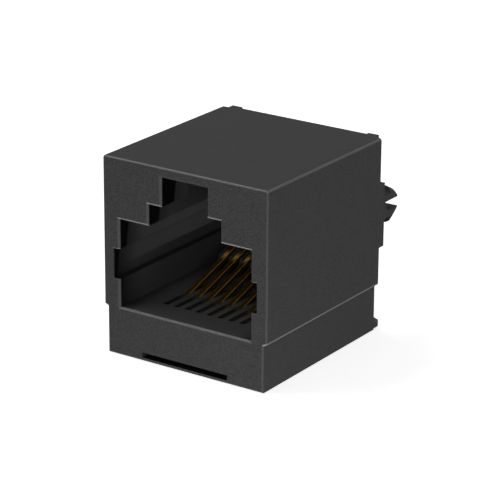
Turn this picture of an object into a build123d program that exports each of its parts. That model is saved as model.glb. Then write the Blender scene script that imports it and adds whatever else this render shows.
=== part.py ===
from build123d import *
from math import cos, radians, tan
import os

# Board connector jack for an eight wire modular plug, in millimetres.
# X runs across the plug opening, Y from the plug side to the board side, Z up.
# The origin is the middle of the footprint, on the surface that the jack rests on.

# Contacts
contact_count = 8
contact_pitch = 1.016
contact_width = 0.45
contact_thickness = 0.4
contact_edge = 0.06
contact_slope = 17.6
contact_end_slope = 21.0
fold_radius = 0.585
knee_radius = 2.0
knee_length = 1.9
tail_pitch = 1.27
tail_row_gap = 2.54
tail_length = 3.3
jog_radius = 0.5

# Contact insert
insert_clearance = 0.05
insert_lift = 0.12
plate_thickness = 1.41
groove_clearance = 0.02
comb_gap = 0.18
comb_length = 5.15
comb_front_drop = 0.67
comb_knee_drop = 0.35
comb_step = 0.35
comb_rise = 0.05
comb_slot_width = 0.62
comb_roof = 0.25
comb_side = 0.35
free_end_inset = 0.3
well_length = 2.0
well_floor = 0.24
well_side = 0.21
jog_inset = 0.2
tail_floor_gap = 0.09
guide_thickness = 1.0
guide_inset = 0.1
guide_rise = 0.5
tongue_recess = 0.9

# Housing, front wall and the floor over the contacts
front_wall = 1.3
fold_gap = 1.0
finger_slot_gap = 0.2
finger_slot_width = 0.5
finger_length = 5.07
floor_clearance = 0.38
floor_thickness = 0.55
tongue_slot_width = 7.9
tongue_slot_low = 0.25
tongue_slot_height = 0.45

# Plug opening, its heights counted up from the floor
mouth_width = 12.0
mouth_height = 7.09
ear_depth = 0.6
ear_rise = 2.25
ear_height = 2.45
key_width = 6.58
key_rise = 1.72
latch_width = 4.14
latch_rise = 2.32
latch_shoulder = 3.55
mouth_bevel = 0.15

# Housing, outer walls
side_wall = 0.9
top_wall = 0.82
back_wall = 1.25
rear_step = 0.35
standoff = 0.3
side_strip = 0.65
top_edge_radius = 0.22
front_edge_radius = 0.17
skirt_height = 3.78
skirt_inset = 0.32
skirt_slant = 0.15
skirt_wall = 0.95

# Board side
peg_spacing = 11.43
peg_to_tails = 6.35
peg_length = 3.45
peg_root_radius = 1.56
peg_root_length = 0.8
peg_shank_radius = 1.34
peg_barb_radius = 1.62
peg_tip_radius = 1.0
peg_lead = 1.25
peg_flats = 1.9
peg_slit = 0.8
pad_height = 5.2
pad_width = 3.5
top_foot_width = 0.93
top_foot_height = 0.9
top_foot_inset = 0.65
bottom_foot_width = 0.88
bottom_foot_height = 0.85
bottom_foot_slope = 0.3
bottom_foot_lift = 0.1

# Depths behind the front face
fold_depth = front_wall + fold_gap
finger_slot_start = fold_depth + finger_slot_gap
finger_end = finger_slot_start + finger_length
comb_start = finger_end + comb_gap
comb_end = comb_start + comb_length
guide_start = comb_end + well_length
guide_end = guide_start + guide_thickness
rear_depth = guide_end + guide_inset
rim_depth = rear_depth - rear_step
cavity_depth = rim_depth - back_wall
seat_depth = rear_depth + standoff
free_end_depth = comb_end - free_end_inset
knee_depth = free_end_depth - knee_length
comb_knee = knee_depth - comb_step
overall_length = seat_depth + peg_length
front = -overall_length / 2
seat_y = front + seat_depth

# Heights above the resting face
run_height = insert_lift + plate_thickness + contact_thickness / 2
fold_corner = fold_depth + fold_radius - fold_radius / tan(radians(contact_slope / 2))


def arm_height(depth):
    # Middle of the sprung arm, on its straight stretch up to the knee
    return run_height + (depth - fold_corner) * tan(radians(contact_slope))


arm_half = contact_thickness / 2 / cos(radians(contact_slope))
knee_height = arm_height(knee_depth)
end_rise = tan(radians(contact_end_slope))
free_end_height = knee_height + (free_end_depth - knee_depth) * end_rise
comb_top = knee_height + (comb_end - knee_depth) * end_rise + comb_rise
floor_under = arm_height(finger_slot_start) + arm_half + floor_clearance
floor_height = floor_under + floor_thickness
ceiling_height = floor_height + mouth_height
ear_low = floor_height + ear_rise
key_height = ceiling_height + key_rise
latch_height = key_height + latch_rise
body_height = latch_height + top_wall
guide_shoulder = floor_under + guide_rise
tail_low = insert_lift + well_floor + tail_floor_gap + contact_thickness / 2
tail_rows = (tail_low + tail_row_gap, tail_low)
peg_height = tail_rows[0] + peg_to_tails

# Places across the jack
contact_xs = [(i - (contact_count - 1) / 2) * contact_pitch for i in range(contact_count)]
tail_xs = [(i - (contact_count - 1) / 2) * tail_pitch for i in range(contact_count)]
ear_width = mouth_width + 2 * ear_depth
body_width = ear_width + 2 * side_wall
skirt_half = body_width / 2 - skirt_inset
pocket_half = skirt_half - skirt_wall
insert_half = pocket_half - insert_clearance
comb_half = contact_xs[-1] + comb_slot_width / 2 + comb_side
tail_half = tail_xs[-1] + contact_width / 2 + well_side
peg_x = peg_spacing / 2


def upright(depth):
    # The vertical plane across the jack at a depth behind the front face
    return Plane.XZ.offset(-(front + depth))


def level(height):
    return Plane.XY.offset(height)


# Housing, outer block with its stepped skirt
with BuildPart() as housing:
    with BuildSketch(upright(0)):
        with BuildLine():
            Polyline(
                (-skirt_half, 0),
                (skirt_half, 0),
                (skirt_half, skirt_height),
                (body_width / 2, skirt_height + skirt_slant),
                (body_width / 2, body_height),
                (-body_width / 2, body_height),
                (-body_width / 2, skirt_height + skirt_slant),
                (-skirt_half, skirt_height),
                close=True,
            )
        make_face()
    extrude(amount=-rim_depth)
    top_sides = housing.faces().sort_by(Axis.Z)[-1].edges().filter_by(Axis.Y)
    fillet(top_sides, radius=top_edge_radius)
    front_outline = housing.faces().sort_by(Axis.Y)[0].edges()
    fillet(front_outline, radius=front_edge_radius)

    # Raised board side between the two side strips
    with BuildSketch(upright(rim_depth)):
        with Locations((0, body_height / 2)):
            Rectangle(body_width - 2 * side_strip, body_height)
    extrude(amount=-rear_step)

    # Pads around the pegs, flush with the sides
    with BuildSketch(upright(rim_depth)):
        for side in (-1, 1):
            with Locations((side * (body_width - pad_width) / 2, peg_height)):
                Rectangle(pad_width, pad_height)
    extrude(amount=-(seat_depth - rim_depth))

    # Feet at the top corners
    with BuildSketch(upright(rear_depth)):
        for side in (-1, 1):
            foot_x = body_width / 2 - top_foot_inset - top_foot_width / 2
            with Locations((side * foot_x, body_height - top_foot_height / 2)):
                Rectangle(top_foot_width, top_foot_height)
    extrude(amount=-standoff)

    # Feet at the bottom corners, sloped on top
    with BuildSketch(upright(rim_depth)):
        for side in (-1, 1):
            foot_top = bottom_foot_lift + bottom_foot_height
            with BuildLine():
                Polyline(
                    (side * skirt_half, bottom_foot_lift),
                    (side * (skirt_half - bottom_foot_width), bottom_foot_lift),
                    (side * (skirt_half - bottom_foot_width), foot_top),
                    (side * skirt_half, foot_top - bottom_foot_slope),
                    close=True,
                )
            make_face()
    extrude(amount=-(seat_depth - rim_depth))

    # Plug opening: mouth, ears for the side fingers and key step, down to the back wall
    with BuildSketch(upright(0)):
        with Locations((0, floor_height + mouth_height / 2)):
            Rectangle(mouth_width, mouth_height)
        with Locations((0, ear_low + ear_height / 2)):
            Rectangle(ear_width, ear_height)
        with Locations((0, ceiling_height + key_rise / 2)):
            Rectangle(key_width, key_rise)
    extrude(amount=-cavity_depth, mode=Mode.SUBTRACT)

    # Latch slot, and the wider room behind its shoulders where the latch springs up
    with BuildSketch(upright(0)):
        with Locations((0, key_height + latch_rise / 2)):
            Rectangle(latch_width, latch_rise)
    extrude(amount=-latch_shoulder, mode=Mode.SUBTRACT)
    with BuildSketch(upright(latch_shoulder)):
        with Locations((0, key_height + latch_rise / 2)):
            Rectangle(key_width, latch_rise)
    extrude(amount=-(cavity_depth - latch_shoulder), mode=Mode.SUBTRACT)

    # Bevel around the opening, but for the ears, whose edges stay sharp
    mouth_edges = housing.faces().sort_by(Axis.Y)[0].inner_wires()[0].edges()
    inner_edges = mouth_edges.filter_by(lambda edge: abs(edge.center().X) * 2 < mouth_width + ear_depth / 2)
    chamfer(inner_edges, length=mouth_bevel)

    # Room for the insert, open below and at the back
    with BuildSketch(upright(front_wall)):
        with Locations((0, floor_under / 2)):
            Rectangle(2 * pocket_half, floor_under)
    extrude(amount=-(seat_depth - front_wall), mode=Mode.SUBTRACT)

    # Window in the floor and the back wall for the comb and the tail guide
    with BuildSketch(level(floor_under)):
        with Locations((0, front + (finger_end + seat_depth) / 2)):
            Rectangle(2 * (comb_half + insert_clearance), seat_depth - finger_end)
    extrude(amount=comb_top + insert_clearance - floor_under, mode=Mode.SUBTRACT)

    # Wider notch behind the comb for the spread of the tails
    with BuildSketch(level(floor_under)):
        with Locations((0, front + (comb_end + seat_depth) / 2)):
            Rectangle(2 * (tail_half + insert_clearance), seat_depth - comb_end)
    extrude(amount=guide_rise + insert_clearance, mode=Mode.SUBTRACT)

    # Slots that let the contacts rise through the floor
    with BuildSketch(level(floor_under)):
        for x in contact_xs:
            with Locations((x, front + finger_slot_start + finger_length / 2)):
                Rectangle(finger_slot_width, finger_length)
    extrude(amount=floor_thickness, mode=Mode.SUBTRACT)

    # Slot for the tongue
    with BuildSketch(upright(0)):
        with Locations((0, tongue_slot_low + tongue_slot_height / 2)):
            Rectangle(tongue_slot_width, tongue_slot_height)
    extrude(amount=-front_wall, mode=Mode.SUBTRACT)

    # Snap pegs, turned profiles with a round root, a barb and a cone that leads it in
    root_y = seat_y + peg_root_length
    tip_y = seat_y + peg_length
    barb_y = tip_y - peg_lead
    for side in (-1, 1):
        x = side * peg_x
        with BuildSketch(level(peg_height)):
            with BuildLine():
                Polyline(
                    (x, seat_y),
                    (x + peg_root_radius, seat_y),
                    (x + peg_root_radius, root_y),
                    (x + peg_shank_radius, root_y),
                    (x + peg_shank_radius, barb_y),
                    (x + peg_barb_radius, barb_y),
                    (x + peg_tip_radius, tip_y),
                    (x, tip_y),
                    close=True,
                )
            make_face()
        revolve(axis=Axis((x, seat_y, peg_height), (0, 1, 0)))

        # Flat sides, and the slit that lets the two prongs spring together
        with BuildSketch(upright(seat_depth + peg_root_length)):
            with Locations((x, peg_height)):
                Rectangle(2 * peg_barb_radius, peg_slit)
            for edge in (-1, 1):
                with Locations((x + edge * (peg_flats + peg_barb_radius) / 2, peg_height)):
                    Rectangle(peg_barb_radius, 2 * peg_barb_radius)
        extrude(amount=-(peg_length - peg_root_length), mode=Mode.SUBTRACT)
housing.part.label = "housing"


# Contact insert, a trough that slides in under the floor from the board side
with BuildPart() as insert:
    with BuildSketch(upright(front_wall)):
        with Locations((0, (insert_lift + floor_under) / 2)):
            Rectangle(2 * insert_half, floor_under - insert_lift)
        with Locations((0, insert_lift + plate_thickness + floor_under / 2)):
            Rectangle(2 * tail_half, floor_under, mode=Mode.SUBTRACT)
    extrude(amount=-(guide_end - front_wall))

    # Comb behind the floor fingers, stepped up at the knee of the contacts
    comb_front_height = arm_height(comb_start) - arm_half - comb_front_drop
    comb_knee_height = arm_height(comb_knee) - arm_half - comb_knee_drop
    with BuildSketch(Plane.YZ):
        with BuildLine():
            Polyline(
                (front + comb_start, insert_lift),
                (front + comb_start, comb_front_height),
                (front + comb_knee, comb_knee_height),
                (front + knee_depth, knee_height + comb_rise),
                (front + comb_end, comb_top),
                (front + comb_end, insert_lift),
                close=True,
            )
        make_face()
    extrude(amount=comb_half, both=True)

    # Tail guide that closes the back of the housing
    with BuildSketch(upright(guide_start)):
        with Locations((0, (insert_lift + floor_under) / 2)):
            Rectangle(2 * insert_half, floor_under - insert_lift)
        with Locations((0, (insert_lift + guide_shoulder) / 2)):
            Rectangle(2 * tail_half, guide_shoulder - insert_lift)
        with Locations((0, (insert_lift + comb_top) / 2)):
            Rectangle(2 * comb_half, comb_top - insert_lift)
    extrude(amount=-guide_thickness)

    # Well where the contacts spread out to the two rows of tails
    with BuildSketch(level(insert_lift + well_floor)):
        with Locations((0, front + (comb_end + guide_start) / 2)):
            Rectangle(2 * tail_half, well_length)
    extrude(amount=floor_under, mode=Mode.SUBTRACT)

    # Tongue in the front wall's slot
    with BuildSketch(upright(front_wall)):
        with Locations((0, tongue_slot_low + tongue_slot_height / 2)):
            Rectangle(
                tongue_slot_width - 2 * insert_clearance,
                tongue_slot_height - 2 * insert_clearance,
            )
    extrude(amount=front_wall - tongue_recess)

    # Comb slots, down to a thin roof over the contacts' lower runs
    with BuildSketch(level(run_height + contact_thickness / 2 + comb_roof)):
        for x in contact_xs:
            with Locations((x, front + (comb_start + comb_end) / 2)):
                Rectangle(comb_slot_width, comb_length)
    extrude(amount=comb_top, mode=Mode.SUBTRACT)

    # Grooves that the lower runs lie in, carried on through the comb as tunnels
    with BuildSketch(level(run_height - contact_thickness / 2)):
        for x in contact_xs:
            with Locations((x, front + (front_wall + comb_end) / 2)):
                Rectangle(contact_width + 2 * groove_clearance, comb_end - front_wall)
    extrude(amount=contact_thickness + groove_clearance, mode=Mode.SUBTRACT)

    # Holes for the tails, in two staggered rows
    with BuildSketch(upright(guide_start)):
        for i, x in enumerate(tail_xs):
            with Locations((x, tail_rows[i % 2] + groove_clearance / 2)):
                Rectangle(contact_width + 2 * groove_clearance, contact_thickness + groove_clearance)
    extrude(amount=-guide_thickness, mode=Mode.SUBTRACT)
insert.part.label = "contact_insert"


# Contacts: tail, jog to the wider tail spacing, lower run, fold and sprung upper arm
contacts = []
for i in range(contact_count):
    with BuildPart() as contact:
        with BuildLine() as path:
            FilletPolyline(
                (tail_xs[i], seat_y + tail_length, tail_rows[i % 2]),
                (tail_xs[i], front + guide_start - jog_inset, tail_rows[i % 2]),
                (contact_xs[i], front + comb_end + jog_inset, run_height),
                (contact_xs[i], front + fold_corner, run_height),
                (contact_xs[i], front + knee_depth, knee_height),
                (contact_xs[i], front + free_end_depth, free_end_height),
                radius=[jog_radius, jog_radius, fold_radius, knee_radius],
            )
        with BuildSketch(Plane(origin=path.line @ 0, x_dir=(1, 0, 0), z_dir=(0, -1, 0))):
            section = Rectangle(contact_width, contact_thickness)
            chamfer(section.vertices(), length=contact_edge)
        sweep()
    contact.part.label = "contact_" + str(i + 1)
    contacts.append(contact)


os.makedirs("parts", exist_ok=True)
export_step(housing.part, "parts/housing.step")
export_step(insert.part, "parts/contact_insert.step")
for contact in contacts:
    export_step(contact.part, "parts/" + contact.part.label + ".step")
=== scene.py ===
import bmesh, bpy
from math import pi, radians, sin, tan
from mathutils import Euler, Matrix, Quaternion, Vector


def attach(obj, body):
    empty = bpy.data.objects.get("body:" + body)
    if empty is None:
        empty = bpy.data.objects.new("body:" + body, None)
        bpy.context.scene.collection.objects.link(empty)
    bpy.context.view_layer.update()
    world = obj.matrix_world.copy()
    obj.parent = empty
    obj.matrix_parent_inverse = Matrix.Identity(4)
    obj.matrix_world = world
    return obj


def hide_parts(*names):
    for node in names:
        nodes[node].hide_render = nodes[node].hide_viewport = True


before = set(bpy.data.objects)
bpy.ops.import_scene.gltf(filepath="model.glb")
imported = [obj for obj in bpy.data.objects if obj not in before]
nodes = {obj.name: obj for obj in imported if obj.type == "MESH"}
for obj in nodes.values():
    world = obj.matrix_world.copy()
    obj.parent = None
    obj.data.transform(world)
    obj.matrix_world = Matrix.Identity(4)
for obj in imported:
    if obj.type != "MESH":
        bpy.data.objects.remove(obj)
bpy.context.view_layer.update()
millimetre = 0.001


def toLinear(hexColour):
    # sRGB hex to the linear RGBA that shaders take
    channels = [int(hexColour[i:i + 2], 16) / 255 for i in (1, 3, 5)]
    linear = [c / 12.92 if c <= 0.04045 else ((c + 0.055) / 1.055) ** 2.4 for c in channels]
    return (*linear, 1.0)


def addNode(tree, kind, settings=None, links=None):
    # settings: properties or input values by name or index; links: input -> output socket
    node = tree.nodes.new(kind)
    for key, value in (settings or {}).items():
        if isinstance(key, int) or key in node.inputs:
            node.inputs[key].default_value = value
        else:
            setattr(node, key, value)
    for key, socket in (links or {}).items():
        tree.links.new(socket, node.inputs[key])
    return node


# a mask is the socket of a number, 1 on some part of the surface and 0 elsewhere
def overlap(tree, masks):
    # 1 where all the masks are 1
    whole = masks[0]
    for mask in masks[1:]:
        whole = addNode(tree, "ShaderNodeMath", {"operation": "MULTIPLY"}, {0: whole, 1: mask}).outputs[0]
    return whole


def within(tree, tests):
    # 1 where all the tests on positions hold
    return overlap(tree, [addNode(tree, "ShaderNodeMath", {"operation": test, 1: limit}, {0: socket}).outputs[0]
                          for socket, test, limit in tests])


def layered(tree, base, settings, layers):
    # each layer is a mask and the name of the tone, roughness or metal share that it brings
    for mask, name in layers:
        value = settings[name]
        if isinstance(value, str):
            base = addNode(tree, "ShaderNodeMix", {"data_type": "RGBA", 7: toLinear(value)},
                           {0: mask, 6: base}).outputs[2]
        else:
            base = addNode(tree, "ShaderNodeMix", {"data_type": "FLOAT", 3: value},
                           {0: mask, 2: base}).outputs[0]
    return base


def newMaterial(name):
    material = bpy.data.materials.new(name)
    material.use_nodes = True
    material.node_tree.nodes.clear()
    return material, material.node_tree


def dress(name, material):
    mesh = nodes[name].data
    mesh.materials.clear()
    mesh.materials.append(material)


# camera at the photograph's angle, 20 degrees down and 34 degrees to the right
cameraSettings = {
    "place": (0.101378, -0.150451, 0.072937),
    "turn": (70.000329, -0.360089, 34.298796),  # degrees
    "lens": 178.643,
    "sensor": 36.0,
    "nearest": 0.01,
}
cameraData = bpy.data.cameras.new("photoCamera")
cameraData.lens = cameraSettings["lens"]
cameraData.sensor_width = cameraSettings["sensor"]
cameraData.clip_start = cameraSettings["nearest"]
camera = bpy.data.objects.new("photoCamera", cameraData)
camera.location = cameraSettings["place"]
camera.rotation_euler = Euler([radians(a) for a in cameraSettings["turn"]], "XYZ")
bpy.context.scene.collection.objects.link(camera)
bpy.context.scene.camera = camera
bpy.context.scene.view_settings.view_transform = "Standard"
print("camera set")


# studio: five softboxes round the jack, a dim room and a white sweep
studioSettings = {
    "wallGrey": "#6c6c6c",
    "ceilingGrey": "#f0f0f0",
    "ceilingStart": 0.2,  # height on the room's sphere, from 0 at the horizon to 1 overhead
    "ceilingFull": 0.95,
    "roomLight": 0.40,
    "mirrorShare": 0.20,  # how much of the white background the gloss shows
    "aimHeight": 8 * millimetre,
    "softboxes": {
        # toward is the direction from the jack, and run that of the long side; metres and watts
        "keyAbove": {"toward": (-0.50, -0.12, 0.86), "distance": 0.45, "run": (0.0, 0.98, 0.14),
                     "long": 0.40, "short": 0.14, "power": 0.76},
        "overCamera": {"toward": (0.42, -0.74, 0.52), "distance": 0.50, "run": (1.0, 0.0, 0.0),
                       "long": 0.26, "short": 0.26, "power": 0.10},
        "lowFront": {"toward": (0.45, -0.88, 0.12), "distance": 0.50, "run": (1.0, 0.0, 0.0),
                     "long": 0.30, "short": 0.12, "power": 0.62},
        "farRight": {"toward": (0.80, -0.55, 0.06), "distance": 0.50, "run": (0.55, 0.80, 0.0),
                     "long": 0.26, "short": 0.10, "power": 0.05},
        "behindRight": {"toward": (0.34, 0.78, 0.53), "distance": 0.45, "run": (0.84, 0.0, -0.54),
                        "long": 0.45, "short": 0.08, "power": 0.08},
    },
}
middle = Vector((0.0, 0.0, studioSettings["aimHeight"]))
for boxName, box in studioSettings["softboxes"].items():
    lampData = bpy.data.lights.new(boxName, "AREA")
    lampData.shape = "RECTANGLE"
    lampData.size = box["long"]
    lampData.size_y = box["short"]
    lampData.energy = box["power"]
    lamp = bpy.data.objects.new(boxName, lampData)
    aim = Vector(box["toward"]).normalized()
    across = Vector(box["run"]).cross(aim).normalized()
    along = aim.cross(across)
    # a lamp shines along its own -Z, so +Z points away from the jack
    lamp.matrix_world = Matrix((along, -across, aim)).transposed().to_4x4()
    lamp.location = middle + aim * box["distance"]
    bpy.context.scene.collection.objects.link(lamp)


def dimRoom(settings):
    # grey walls under a pale ceiling; the camera and clear rays see plain white instead
    world = bpy.data.worlds.new("dimRoom")
    world.use_nodes = True
    room = world.node_tree
    room.nodes.clear()
    rays = addNode(room, "ShaderNodeLightPath")
    seen = addNode(room, "ShaderNodeMath", {"operation": "MAXIMUM"},
                   {0: rays.outputs["Is Camera Ray"], 1: rays.outputs["Is Transmission Ray"]})
    seen = addNode(room, "ShaderNodeMath", {"operation": "MULTIPLY_ADD", 1: settings["mirrorShare"]},
                   {0: rays.outputs["Is Glossy Ray"], 2: seen.outputs[0]})
    toward = addNode(room, "ShaderNodeTexCoord")
    height = addNode(room, "ShaderNodeSeparateXYZ", {}, {0: toward.outputs["Generated"]})
    rise = addNode(room, "ShaderNodeMapRange",
                   {"From Min": settings["ceilingStart"], "From Max": settings["ceilingFull"]},
                   {"Value": height.outputs[2]})
    tint = addNode(room, "ShaderNodeMix", {"data_type": "RGBA", 6: toLinear(settings["wallGrey"]),
                                           7: toLinear(settings["ceilingGrey"])}, {0: rise.outputs[0]})
    dim = addNode(room, "ShaderNodeBackground", {"Strength": settings["roomLight"]},
                  {"Color": tint.outputs[2]})
    white = addNode(room, "ShaderNodeBackground", {"Color": (1, 1, 1, 1), "Strength": 1.0})
    mixed = addNode(room, "ShaderNodeMixShader", {},
                    {0: seen.outputs[0], 1: dim.outputs[0], 2: white.outputs[0]})
    addNode(room, "ShaderNodeOutputWorld", {}, {"Surface": mixed.outputs[0]})
    return world


bpy.context.scene.world = dimRoom(studioSettings)

sweepSettings = {
    "half": 2.0,
    "under": 0.02 * millimetre,
    "paper": "#f2f2f2",
    "cameraGlow": 0.72,
    "mirrorGlow": 0.37,
    "bounce": 0.40,
    "nearBounce": 0.70,
    "nearPlace": (12 * millimetre, -18 * millimetre, 0),
    "nearReach": 34 * millimetre,
}


def whitePaper(name, settings):
    # the camera and clear rays see it brighter, so it goes to white and still holds a shadow
    material, tree = newMaterial(name)
    rays = addNode(tree, "ShaderNodeLightPath")
    seen = addNode(tree, "ShaderNodeMath", {"operation": "MAXIMUM"},
                   {0: rays.outputs["Is Camera Ray"], 1: rays.outputs["Is Transmission Ray"]})
    glow = addNode(tree, "ShaderNodeMath", {"operation": "MULTIPLY", 1: settings["cameraGlow"]},
                   {0: seen.outputs[0]})
    # the paper lights the jack from below, most of all in front of its opening
    place = addNode(tree, "ShaderNodeTexCoord")
    away = addNode(tree, "ShaderNodeVectorMath", {"operation": "DISTANCE", 1: settings["nearPlace"]},
                   {0: place.outputs["Object"]})
    near = addNode(tree, "ShaderNodeMapRange",
                   {"From Min": 0.0, "From Max": settings["nearReach"],
                    "To Min": settings["bounce"] + settings["nearBounce"], "To Max": settings["bounce"],
                    "interpolation_type": "SMOOTHSTEP"}, {"Value": away.outputs["Value"]})
    glow = addNode(tree, "ShaderNodeMath", {"operation": "MULTIPLY_ADD"},
                   {0: rays.outputs["Is Diffuse Ray"], 1: near.outputs[0], 2: glow.outputs[0]})
    matte = addNode(tree, "ShaderNodeBsdfDiffuse", {"Color": toLinear(settings["paper"])})
    shine = addNode(tree, "ShaderNodeEmission", {"Color": (1, 1, 1, 1)}, {"Strength": glow.outputs[0]})
    lit = addNode(tree, "ShaderNodeAddShader", {}, {0: matte.outputs[0], 1: shine.outputs[0]})
    # in reflections the paper is one even grey, without the jack's own shadow on it
    mirror = addNode(tree, "ShaderNodeEmission", {"Color": (1, 1, 1, 1), "Strength": settings["mirrorGlow"]})
    lit = addNode(tree, "ShaderNodeMixShader", {},
                  {0: rays.outputs["Is Glossy Ray"], 1: lit.outputs[0], 2: mirror.outputs[0]})
    addNode(tree, "ShaderNodeOutputMaterial", {}, {"Surface": lit.outputs[0]})
    return material


sheet = bmesh.new()
bmesh.ops.create_grid(sheet, x_segments=1, y_segments=1, size=sweepSettings["half"],
                      matrix=Matrix.Translation((0.0, 0.0, -sweepSettings["under"])))
sweepMesh = bpy.data.meshes.new("paperSweep")
sheet.to_mesh(sweepMesh)
sheet.free()
sweepMesh.materials.append(whitePaper("whitePaper", sweepSettings))
sweep = bpy.data.objects.new("paperSweep", sweepMesh)
bpy.context.scene.collection.objects.link(sweep)
print("studio set")


# housing: glass-filled polyester, black, moulded in a spark-eroded tool
# the eye gets a dull, finely pitted skin, painted highlights on the corners, and a smoother core side inside
# the plug opening with painted light and painted shade on it
housingSettings = {
    # tones of the outside
    "skin": "#282828",
    "skinPale": "#434343",
    # painted highlight on the outer edges
    "edgeHighlight": "#4a4a4a",
    "upEdgeHighlight": "#626262",
    "underEdgeHighlight": "#8c8c8c",
    "stepHighlight": "#727272",
    # tones of the opening, which the tool's core shapes
    "core": "#3f3f3f",
    "coreUpperLight": "#646464",
    "coreFloorLight": "#505050",
    "coreFloorDeepLight": "#6a6a6a",
    "coreMouthShade": "#121212",
    "coreFrontShadow": "#0e0e0e",
    "slotShade": "#0a0a0a",
    # finish
    "skinRoughness": 0.56,
    "roughnessSwing": 0.02,
    "coreRoughness": 0.30,
    "edgeRoughness": 0.26,
    "ior": 1.57,
    "specular": 0.25,
    # real spark pits are about 0.05 mm, drawn coarser so that they show
    "grain": 0.09 * millimetre,
    "grainDepth": 0.045 * millimetre,
    "grainDetail": 2.0,
    "grainRoughness": 0.6,
    "pitRange": (0.32, 0.68),
    "grainOnTop": 0.35,
    "grainOnSides": 0.7,
    "grainInside": 0.2,
    # faint flow clouds of the glass filling
    "flow": 3.0 * millimetre,
    "flowDetail": 3.0,
    "flowRange": (0.3, 0.7),
    # the tool's small corner radius, on every edge that the solid leaves sharp
    "edgeRadius": 0.10 * millimetre,
    "edgeSamples": 8,
    # where each mask starts and is full: largest part of the rounded normal, then its upward part
    "edgeRange": (0.99, 0.90),
    "upRange": (0.15, 0.45),
    "downRange": (-0.08, -0.35),
    "facingShare": 0.5,  # a face looks up or sideways from this part of its normal on
    # the box that holds the plug opening
    "openingHalf": 6.7 * millimetre,
    "openingLow": 3.9 * millimetre,
    "openingTop": 15.2 * millimetre,
    "openingFront": -9.7 * millimetre,
    "openingEnd": 5.2 * millimetre,
    "front": -9.875 * millimetre,
    # the edge of the painted shadow in the opening is a plane that starts near the floor and leans back
    "shadowFoot": 3.8 * millimetre,
    "shadowLean": 0.183,
    "shadowSoft": 0.06 * millimetre,
    "mouthReach": 3.0 * millimetre,
    "cornerStart": 4.7 * millimetre,
    "cornerEnd": 6.1 * millimetre,
    "cornerShade": 0.8,
    "deepStart": -8.5 * millimetre,
    "deepEnd": -4.5 * millimetre,
    "deepWallEnd": -0.5 * millimetre,
    "deepWallLeast": 0.05,
    "upperStart": 7.0 * millimetre,
    "upperEnd": 11.1 * millimetre,
    # the painted highlight under edges stays between these heights, and all painted edge highlight stays in
    # front of the board side
    "underHighlightLow": 3.5 * millimetre,
    "underHighlightHigh": 14.6 * millimetre,
    "bodyEnd": 6.3 * millimetre,
    # line where the skirt steps in to the body, which gets a painted highlight
    "stepSide": 7.45 * millimetre,
    "stepLow": 3.90 * millimetre,
    "stepHigh": 4.05 * millimetre,
    # slot of the insert's tongue, and its rim
    "rimHalf": 4.2 * millimetre,
    "rimLow": 0.25 * millimetre,
    "rimTop": 1.0 * millimetre,
    "slotHalf": 3.95 * millimetre,
    "slotTop": 0.72 * millimetre,
    "slotLow": 0.05 * millimetre,
    "slotInset": 0.02 * millimetre,
}


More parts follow.
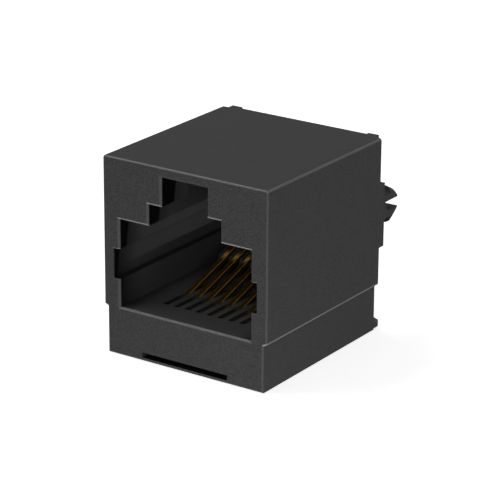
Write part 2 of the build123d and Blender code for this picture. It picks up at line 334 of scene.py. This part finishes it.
def sparkErodedPolyester(name, settings):
    material, tree = newMaterial(name)
    place = addNode(tree, "ShaderNodeTexCoord")
    spot = addNode(tree, "ShaderNodeSeparateXYZ", {}, {0: place.outputs["Object"]})
    x, y, z = spot.outputs
    side = addNode(tree, "ShaderNodeMath", {"operation": "ABSOLUTE"}, {0: x}).outputs[0]
    facing = addNode(tree, "ShaderNodeVectorMath", {"operation": "ABSOLUTE"}, {0: place.outputs["Normal"]})
    facing = addNode(tree, "ShaderNodeSeparateXYZ", {}, {0: facing.outputs[0]})
    sideways, level = facing.outputs[0], facing.outputs[2]

    # 1 on every edge, rounded by the tool's corner radius
    rounded = addNode(tree, "ShaderNodeBevel",
                      {"samples": settings["edgeSamples"], "Radius": settings["edgeRadius"]})
    turned = addNode(tree, "ShaderNodeVectorTransform",
                     {"vector_type": "NORMAL", "convert_from": "WORLD", "convert_to": "OBJECT"},
                     {0: rounded.outputs[0]})
    tilt = addNode(tree, "ShaderNodeSeparateXYZ", {}, {0: turned.outputs[0]}).outputs[2]
    turned = addNode(tree, "ShaderNodeVectorMath", {"operation": "ABSOLUTE"}, {0: turned.outputs[0]})
    turned = addNode(tree, "ShaderNodeSeparateXYZ", {}, {0: turned.outputs[0]})
    flat = addNode(tree, "ShaderNodeMath", {"operation": "MAXIMUM"},
                   {0: turned.outputs[0], 1: turned.outputs[1]})
    flat = addNode(tree, "ShaderNodeMath", {"operation": "MAXIMUM"},
                   {0: flat.outputs[0], 1: turned.outputs[2]})
    edgeStart, edgeFull = settings["edgeRange"]
    edge = addNode(tree, "ShaderNodeMapRange", {"From Min": edgeStart, "From Max": edgeFull},
                   {"Value": flat.outputs[0]}).outputs[0]

    # 1 inside the plug opening, and 1 inside the tongue's slot, which is painted dark as shade
    inside = within(tree, ((side, "LESS_THAN", settings["openingHalf"]),
                           (y, "GREATER_THAN", settings["openingFront"]),
                           (y, "LESS_THAN", settings["openingEnd"]),
                           (z, "GREATER_THAN", settings["openingLow"]),
                           (z, "LESS_THAN", settings["openingTop"])))
    shadedSlot = within(tree, ((side, "LESS_THAN", settings["slotHalf"]),
                         (y, "GREATER_THAN", settings["front"] + settings["slotInset"]),
                         (z, "GREATER_THAN", settings["slotLow"]),
                         (z, "LESS_THAN", settings["slotTop"])))

    # painted shadow: 1 in front of a plane that leans back from near the floor, where the walls are painted
    # near black
    lean = addNode(tree, "ShaderNodeMath",
                   {"operation": "MULTIPLY_ADD", 1: -settings["shadowLean"],
                    2: settings["shadowFoot"] * settings["shadowLean"] - settings["front"]}, {0: z})
    lean = addNode(tree, "ShaderNodeMath", {"operation": "ADD"}, {0: lean.outputs[0], 1: y})
    frontShadow = addNode(tree, "ShaderNodeMapRange",
                    {"From Min": settings["shadowSoft"], "From Max": -settings["shadowSoft"]},
                    {"Value": lean.outputs[0]}).outputs[0]

    # the painted edge highlight keeps to the outside, off the board side and off the sharp rim of the tongue's
    # slot
    body = within(tree, ((y, "LESS_THAN", settings["bodyEnd"]),))
    rim = within(tree, ((side, "LESS_THAN", settings["rimHalf"]),
                        (z, "GREATER_THAN", settings["rimLow"]),
                        (z, "LESS_THAN", settings["rimTop"])))
    outside, plain = [addNode(tree, "ShaderNodeMath", {"operation": "SUBTRACT", 0: 1.0}, {1: mask}).outputs[0]
                      for mask in (inside, rim)]
    edge = overlap(tree, (edge, outside, body, plain))

    # painted highlight: 1 on edges that look up, where the light from above falls most
    upStart, upFull = settings["upRange"]
    upward = addNode(tree, "ShaderNodeMapRange", {"From Min": upStart, "From Max": upFull}, {"Value": tilt})
    upward = overlap(tree, (edge, upward.outputs[0]))
    # painted highlight: 1 on edges that look down, which light from below catches
    downStart, downFull = settings["downRange"]
    under = addNode(tree, "ShaderNodeMapRange", {"From Min": downStart, "From Max": downFull}, {"Value": tilt})
    underHighlightBand = within(tree, ((z, "GREATER_THAN", settings["underHighlightLow"]),
                           (z, "LESS_THAN", settings["underHighlightHigh"])))
    under = overlap(tree, (edge, under.outputs[0], underHighlightBand))
    # painted highlight: 1 on the line where the skirt's step meets the body
    step = within(tree, ((side, "GREATER_THAN", settings["stepSide"]),
                         (z, "GREATER_THAN", settings["stepLow"]),
                         (z, "LESS_THAN", settings["stepHigh"])))

    # painted shade: the core's walls are darker towards the mouth, and its floor towards the corners
    mouthShade = addNode(tree, "ShaderNodeMapRange",
                    {"From Min": settings["front"], "From Max": settings["front"] + settings["mouthReach"],
                     "To Min": 1.0, "To Max": 0.0}, {"Value": y})
    mouthShade = overlap(tree, (mouthShade.outputs[0], sideways))
    corner = addNode(tree, "ShaderNodeMapRange",
                     {"From Min": settings["cornerStart"], "From Max": settings["cornerEnd"],
                      "To Max": settings["cornerShade"]}, {"Value": side})
    corner = overlap(tree, (corner.outputs[0], level))
    mouthShade = addNode(tree, "ShaderNodeMath", {"operation": "MAXIMUM"}, {0: mouthShade, 1: corner}).outputs[0]
    # painted light: further in, the floor and the upper walls are paler
    deep = addNode(tree, "ShaderNodeMapRange",
                   {"From Min": settings["deepStart"], "From Max": settings["deepEnd"]}, {"Value": y})
    litDeepFloor = overlap(tree, (deep.outputs[0], level))
    litUpperWalls = within(tree, ((z, "GREATER_THAN", settings["upperStart"]),
                          (z, "LESS_THAN", settings["upperEnd"]),
                          (sideways, "GREATER_THAN", settings["facingShare"])))
    deepWall = addNode(tree, "ShaderNodeMapRange",
                       {"From Min": settings["deepStart"], "From Max": settings["deepWallEnd"],
                        "To Min": settings["deepWallLeast"]}, {"Value": y})
    litUpperWalls = overlap(tree, (litUpperWalls, deepWall.outputs[0]))

    grain = addNode(tree, "ShaderNodeTexNoise",
                    {"Scale": 1 / settings["grain"], "Detail": settings["grainDetail"],
                     "Roughness": settings["grainRoughness"]}, {"Vector": place.outputs["Object"]})
    flow = addNode(tree, "ShaderNodeTexNoise",
                   {"Scale": 1 / settings["flow"], "Detail": settings["flowDetail"]},
                   {"Vector": place.outputs["Object"]})
    # grain fades on the top and the sides, which the tool has smoother, and inside
    calmTop, calmSides = [
        addNode(tree, "ShaderNodeMapRange",
                {"From Min": settings["facingShare"], "To Min": 1.0, "To Max": settings[least]},
                {"Value": share}).outputs[0]
        for least, share in (("grainOnTop", level), ("grainOnSides", sideways))]
    calmInside = addNode(tree, "ShaderNodeMath",
                         {"operation": "MULTIPLY_ADD", 1: settings["grainInside"] - 1.0, 2: 1.0}, {0: inside})
    calm = overlap(tree, (calmTop, calmSides, calmInside.outputs[0]))
    # the pits' pattern about its middle, calmed, and moved back to 0 to 1
    pitLow, pitHigh = settings["pitRange"]
    pits = addNode(tree, "ShaderNodeMapRange",
                   {"From Min": pitLow, "From Max": pitHigh, "To Min": -0.5, "To Max": 0.5},
                   {"Value": grain.outputs[0]})
    pits = addNode(tree, "ShaderNodeMath", {"operation": "MULTIPLY_ADD", 2: 0.5},
                   {0: pits.outputs[0], 1: calm})

    skin = addNode(tree, "ShaderNodeMix", {"data_type": "RGBA", 6: toLinear(settings["skin"]),
                                           7: toLinear(settings["skinPale"])}, {0: pits.outputs[0]})
    # painted light: faces of the opening that look up or down are paler than its walls
    core = addNode(tree, "ShaderNodeMix", {"data_type": "RGBA", 6: toLinear(settings["core"]),
                                           7: toLinear(settings["coreFloorLight"])}, {0: level})
    core = layered(tree, core.outputs[2], settings, ((litDeepFloor, "coreFloorDeepLight"), (litUpperWalls, "coreUpperLight"),
                                                     (mouthShade, "coreMouthShade"), (frontShadow, "coreFrontShadow")))
    skin = addNode(tree, "ShaderNodeMix", {"data_type": "RGBA"}, {0: inside, 6: skin.outputs[2], 7: core})
    skin = layered(tree, skin.outputs[2], settings,
                   ((edge, "edgeHighlight"), (upward, "upEdgeHighlight"), (under, "underEdgeHighlight"), (step, "stepHighlight"),
                    (shadedSlot, "slotShade")))

    flowLow, flowHigh = settings["flowRange"]
    rough = addNode(tree, "ShaderNodeMapRange",
                    {"From Min": flowLow, "From Max": flowHigh,
                     "To Min": settings["skinRoughness"] - settings["roughnessSwing"],
                     "To Max": settings["skinRoughness"] + settings["roughnessSwing"]},
                    {"Value": flow.outputs[0]})
    rough = layered(tree, rough.outputs[0], settings, ((inside, "coreRoughness"), (edge, "edgeRoughness")))
    bump = addNode(tree, "ShaderNodeBump", {"Distance": settings["grainDepth"]},
                   {"Height": grain.outputs[0], "Strength": calm, "Normal": rounded.outputs[0]})
    shader = addNode(tree, "ShaderNodeBsdfPrincipled",
                     {"IOR": settings["ior"], "Specular IOR Level": settings["specular"]},
                     {"Base Color": skin, "Roughness": rough, "Normal": bump.outputs[0]})
    addNode(tree, "ShaderNodeOutputMaterial", {}, {"Surface": shader.outputs[0]})
    return material


dress("housing", sparkErodedPolyester("sparkErodedPolyester", housingSettings))
print("housing dressed")


# contact insert: the same polyester from a smoother tool, with a fine grain and a faint blue
# the eye gets dark plastic, with webs between the wires painted paler as the light that the opening lets down
# on them
insertSettings = {
    "colour": "#2b2d30",
    "paleColour": "#3c3e42",
    "webPaintedLight": "#7c7f84",
    "roughness": 0.42,
    "ior": 1.57,
    "specular": 0.25,
    "grain": 0.10 * millimetre,
    "grainDepth": 0.02 * millimetre,
    "grainDetail": 2.0,
    "grainStrength": 0.6,
    "webStart": 0.6 * millimetre,
    "webEnd": -0.6 * millimetre,
    "webLow": 1.2 * millimetre,
}


def smoothPolyester(name, settings):
    material, tree = newMaterial(name)
    place = addNode(tree, "ShaderNodeTexCoord")
    spot = addNode(tree, "ShaderNodeSeparateXYZ", {}, {0: place.outputs["Object"]})
    y, z = spot.outputs[1], spot.outputs[2]
    grain = addNode(tree, "ShaderNodeTexNoise",
                    {"Scale": 1 / settings["grain"], "Detail": settings["grainDetail"]},
                    {"Vector": place.outputs["Object"]})
    skin = addNode(tree, "ShaderNodeMix", {"data_type": "RGBA", 6: toLinear(settings["colour"]),
                                           7: toLinear(settings["paleColour"])}, {0: grain.outputs[0]})
    # painted light: 1 on the webs that show through the opening's floor
    litWebs = addNode(tree, "ShaderNodeMapRange",
                   {"From Min": settings["webStart"], "From Max": settings["webEnd"]}, {"Value": y})
    above = within(tree, ((z, "GREATER_THAN", settings["webLow"]),))
    litWebs = overlap(tree, (litWebs.outputs[0], above))
    skin = layered(tree, skin.outputs[2], settings, ((litWebs, "webPaintedLight"),))
    bump = addNode(tree, "ShaderNodeBump",
                   {"Distance": settings["grainDepth"], "Strength": settings["grainStrength"]},
                   {"Height": grain.outputs[0]})
    shader = addNode(tree, "ShaderNodeBsdfPrincipled",
                     {"Roughness": settings["roughness"], "IOR": settings["ior"],
                      "Specular IOR Level": settings["specular"]},
                     {"Base Color": skin, "Normal": bump.outputs[0]})
    addNode(tree, "ShaderNodeOutputMaterial", {}, {"Surface": shader.outputs[0]})
    return material


dress("contact_insert", smoothPolyester("smoothPolyester", insertSettings))
print("insert dressed")


# contacts: drawn bronze wire, gold plated over the sprung arms and tinned on the tails
# the eye gets dark amber flats, painted highlights on the edges and along the knee, painted shade on the sides
# and where the wire lies in its floor slot, and grey tails
contactSettings = {
    "gold": "#b68c34",
    "goldShade": "#9c722a",
    "sideGoldShade": "#8a6424",
    # painted highlight on the slanted edges, which are also less metallic so that they stay bright
    "edgeGoldHighlight": "#ffce6c",
    "kneeHighlight": "#ffd068",
    "slotWireShade": "#33291f",
    "tin": "#a9abad",
    "edgeMetal": 0.75,
    "kneeHighlightMetal": 0.15,
    "slotWireShadeMetal": 0.2,
    "roughness": 0.44,
    "roughnessSwing": 0.05,
    "edgeRoughness": 0.40,
    "kneeHighlightRoughness": 0.50,
    "tinRoughness": 0.42,
    # drawing lines run along the wire
    "streak": 0.05 * millimetre,
    "streakStretch": 0.03,
    "streakDepth": 0.0002 * millimetre,
    "streakDetail": 2.0,
    # sideways part of the normal where the slanted edges start and end, and the sides start
    "edgeRise": (0.25, 0.45),
    "edgeFall": (0.95, 0.85),
    "sideRange": (0.70, 0.95),
    # painted highlight on the knee
    "kneeHighlightStart": 0.0,
    "kneeHighlightPeak": 0.70 * millimetre,
    "kneeHighlightEnd": 1.40 * millimetre,
    # the painted highlight keeps to the middle of each wire; shares of the wires' pitch
    "highlightPitch": 1.016 * millimetre,
    "highlightHalf": 0.10,
    "highlightFade": 0.20,
    "tinStart": 5.2 * millimetre,
    "tinFull": 5.8 * millimetre,
    "slotWireShadeStart": -4.75 * millimetre,
    "slotWireShadeFull": -5.25 * millimetre,
}


def goldPlatedBronze(name, settings):
    material, tree = newMaterial(name)
    place = addNode(tree, "ShaderNodeTexCoord")
    spot = addNode(tree, "ShaderNodeSeparateXYZ", {}, {0: place.outputs["Object"]})
    x, y = spot.outputs[0], spot.outputs[1]
    facing = addNode(tree, "ShaderNodeVectorMath", {"operation": "ABSOLUTE"}, {0: place.outputs["Normal"]})
    facing = addNode(tree, "ShaderNodeSeparateXYZ", {}, {0: facing.outputs[0]})
    # 1 on the wire's narrow slanted edges, between its flats and its sides, which get a painted highlight, and
    # 1 on the sides, which get painted shade
    fromFlat, fromSide, shadedFlank = [
        addNode(tree, "ShaderNodeMapRange", {"From Min": start, "From Max": full},
                {"Value": facing.outputs[0]}).outputs[0]
        for start, full in (settings["edgeRise"], settings["edgeFall"], settings["sideRange"])]
    edge = overlap(tree, (fromFlat, fromSide))
    # painted highlight: 1 along the middle of the knee
    rise, fall = [
        addNode(tree, "ShaderNodeMapRange",
                {"From Min": settings[start], "From Max": settings["kneeHighlightPeak"],
                 "interpolation_type": "SMOOTHSTEP"}, {"Value": y}).outputs[0]
        for start in ("kneeHighlightStart", "kneeHighlightEnd")]
    # the wires stand half a pitch, one and a half and so on from the jack's middle, so the
    # fraction of a pitch is 0.5 at the centre of each
    strip = addNode(tree, "ShaderNodeMath", {"operation": "MULTIPLY", 1: 1 / settings["highlightPitch"]}, {0: x})
    strip = addNode(tree, "ShaderNodeMath", {"operation": "FRACT"}, {0: strip.outputs[0]})
    strip = addNode(tree, "ShaderNodeMath", {"operation": "SUBTRACT", 1: 0.5}, {0: strip.outputs[0]})
    strip = addNode(tree, "ShaderNodeMath", {"operation": "ABSOLUTE"}, {0: strip.outputs[0]})
    strip = addNode(tree, "ShaderNodeMapRange",
                    {"From Min": settings["highlightFade"], "From Max": settings["highlightHalf"]},
                    {"Value": strip.outputs[0]})
    kneeHighlightMask = overlap(tree, (rise, fall, strip.outputs[0]))
    # 1 on the tails, and 1 where the wire lies in its floor slot, which gets painted shade
    tinned, slotted = [
        addNode(tree, "ShaderNodeMapRange", {"From Min": settings[start], "From Max": settings[full]},
                {"Value": y}).outputs[0]
        for start, full in (("tinStart", "tinFull"), ("slotWireShadeStart", "slotWireShadeFull"))]

    # drawing lines, noise squeezed along the wire
    squeezed = addNode(tree, "ShaderNodeVectorMath",
                       {"operation": "MULTIPLY", 1: (1.0, settings["streakStretch"], 1.0)},
                       {0: place.outputs["Object"]})
    streaks = addNode(tree, "ShaderNodeTexNoise",
                      {"Scale": 1 / settings["streak"], "Detail": settings["streakDetail"]},
                      {"Vector": squeezed.outputs[0]})
    colour = addNode(tree, "ShaderNodeMix", {"data_type": "RGBA", 6: toLinear(settings["goldShade"]),
                                             7: toLinear(settings["gold"])}, {0: streaks.outputs[0]})
    colour = layered(tree, colour.outputs[2], settings,
                     ((shadedFlank, "sideGoldShade"), (edge, "edgeGoldHighlight"), (kneeHighlightMask, "kneeHighlight"), (tinned, "tin"),
                      (slotted, "slotWireShade")))
    rough = addNode(tree, "ShaderNodeMapRange",
                    {"To Min": settings["roughness"] - settings["roughnessSwing"],
                     "To Max": settings["roughness"] + settings["roughnessSwing"]},
                    {"Value": streaks.outputs[0]})
    rough = layered(tree, rough.outputs[0], settings,
                    ((edge, "edgeRoughness"), (kneeHighlightMask, "kneeHighlightRoughness"), (tinned, "tinRoughness")))
    metal = addNode(tree, "ShaderNodeMapRange", {"To Min": 1.0, "To Max": settings["edgeMetal"]},
                    {"Value": edge})
    metal = layered(tree, metal.outputs[0], settings, ((kneeHighlightMask, "kneeHighlightMetal"), (slotted, "slotWireShadeMetal")))
    bump = addNode(tree, "ShaderNodeBump", {"Distance": settings["streakDepth"]},
                   {"Height": streaks.outputs[0]})
    shader = addNode(tree, "ShaderNodeBsdfPrincipled", {},
                     {"Base Color": colour, "Roughness": rough, "Normal": bump.outputs[0],
                      "Metallic": metal})
    addNode(tree, "ShaderNodeOutputMaterial", {}, {"Surface": shader.outputs[0]})
    return material


# each wire runs in the insert, folds up behind the front wall, lies in its floor slot and bends up to the knee
wireSettings = {
    "count": 8,
    # lengths in mm
    "pitch": 1.016,
    "tailPitch": 1.27,
    "width": 0.45,
    "thickness": 0.40,
    "corner": 0.08,
    "tailRows": (3.19, 0.65),
    "tailEnd": 9.725,
    "jogBack": 4.825,
    "jogFront": 3.225,
    "run": 1.73,
    "foldFront": -7.15,
    "slotRun": 3.66,
    "bend": -4.65,
    "knee": (0.825, 5.408),
    "freeEnd": (2.725, 6.137),
    "radii": (0.5, 0.5, 0.5, 0.5, 4.0, 2.0),
    "tipTaper": 0.12,
    "tailTaper": 0.35,
    # share of the section that is left at both ends
    "tipScale": 0.72,
    "cornerSteps": 4,
    "arcSteps": 12,
}


def roundedRoute(corners, radii, steps):
    # the corners joined by straight runs and arcs, as a list of points
    points = [corners[0]]
    for before, corner, after, radius in zip(corners, corners[1:], corners[2:], radii):
        back, ahead = (before - corner).normalized(), (after - corner).normalized()
        halfAngle = back.angle(ahead) / 2
        start = corner + back * (radius / tan(halfAngle))
        centre = corner + (back + ahead).normalized() * (radius / sin(halfAngle))
        arm = start - centre
        axis = arm.cross(corner + ahead * (radius / tan(halfAngle)) - centre)
        for step in range(steps + 1):
            points.append(centre + Quaternion(axis, (pi - 2 * halfAngle) * step / steps) @ arm)
    return points + [corners[-1]]


def taperedRoute(points, tailTaper, tipTaper):
    # one more point near each end, so that only the last bit narrows
    tailIn = points[0] + (points[1] - points[0]).normalized() * tailTaper
    tipIn = points[-1] + (points[-2] - points[-1]).normalized() * tipTaper
    return [points[0], tailIn] + points[1:-1] + [tipIn, points[-1]]


def standAt(points, k, scale):
    # the wire's section set square to the route at one of its points
    along = (points[min(k + 1, len(points) - 1)] - points[max(k - 1, 0)]).normalized()
    across = (Vector((1, 0, 0)) - along * along.x).normalized()
    turn = Matrix((across, along.cross(across), along)).transposed().to_4x4()
    return Matrix.Translation(points[k] * millimetre) @ turn @ Matrix.Scale(scale, 4)


def wireMesh(name, points, scales, settings):
    # a rectangle with rounded corners, extruded step by step along the route
    mesh = bpy.data.meshes.new(name)
    made = bmesh.new()
    bmesh.ops.create_grid(made, x_segments=1, y_segments=1, size=millimetre / 2)
    bmesh.ops.scale(made, vec=(settings["width"], settings["thickness"], 1), verts=made.verts)
    bmesh.ops.bevel(made, geom=made.verts[:], offset=settings["corner"] * millimetre, offset_type="OFFSET",
                    segments=settings["cornerSteps"], profile=0.5, affect="VERTICES", material=-1)
    stands = [standAt(points, k, scale) for k, scale in enumerate(scales)]
    bmesh.ops.transform(made, matrix=stands[0], verts=made.verts)
    made.faces.ensure_lookup_table()
    cap = made.faces[0]
    for k, (before, after) in enumerate(zip(stands, stands[1:])):
        oldCap = cap
        grown = bmesh.ops.extrude_face_region(made, geom=[oldCap])["geom"]
        cap = next(part for part in grown if isinstance(part, bmesh.types.BMFace))
        if k:  # the first face closes the wire's end, the later ones would stay inside it
            bmesh.ops.delete(made, geom=[oldCap], context="FACES_ONLY")
        bmesh.ops.transform(made, matrix=after @ before.inverted(), verts=cap.verts)
    bmesh.ops.recalc_face_normals(made, faces=made.faces)
    for face in made.faces:
        face.smooth = len(face.verts) == 4  # the two ends stay flat
    made.to_mesh(mesh)
    made.free()
    return mesh


def wireRoute(number, settings):
    # centre line of one wire, from its tail to its free end
    place = number - (settings["count"] - 1) / 2
    tailX, x = place * settings["tailPitch"], place * settings["pitch"]
    row = settings["tailRows"][number % 2]
    run, slotRun, foldFront = (settings[key] for key in ("run", "slotRun", "foldFront"))
    corners = [(tailX, settings["tailEnd"], row), (tailX, settings["jogBack"], row),
               (x, settings["jogFront"], run), (x, foldFront, run), (x, foldFront, slotRun),
               (x, settings["bend"], slotRun), (x, *settings["knee"]), (x, *settings["freeEnd"])]
    route = roundedRoute([Vector(corner) for corner in corners], settings["radii"], settings["arcSteps"])
    return taperedRoute(route, settings["tailTaper"], settings["tipTaper"])


gold = goldPlatedBronze("goldPlatedBronze", contactSettings)
for number in range(wireSettings["count"]):
    route = wireRoute(number, wireSettings)
    tip = wireSettings["tipScale"]
    wireScales = [tip] + [1.0] * (len(route) - 2) + [tip]
    wireName = "wire_%d" % (number + 1)
    wire = bpy.data.objects.new(wireName, wireMesh(wireName, route, wireScales, wireSettings))
    bpy.context.scene.collection.objects.link(wire)
    wire.data.materials.append(gold)
    steady = wire.modifiers.new("flatNormals", "WEIGHTED_NORMAL")
    steady.keep_sharp = True
    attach(wire, "root")
    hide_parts("contact_%d" % (number + 1))
print("contacts dressed")
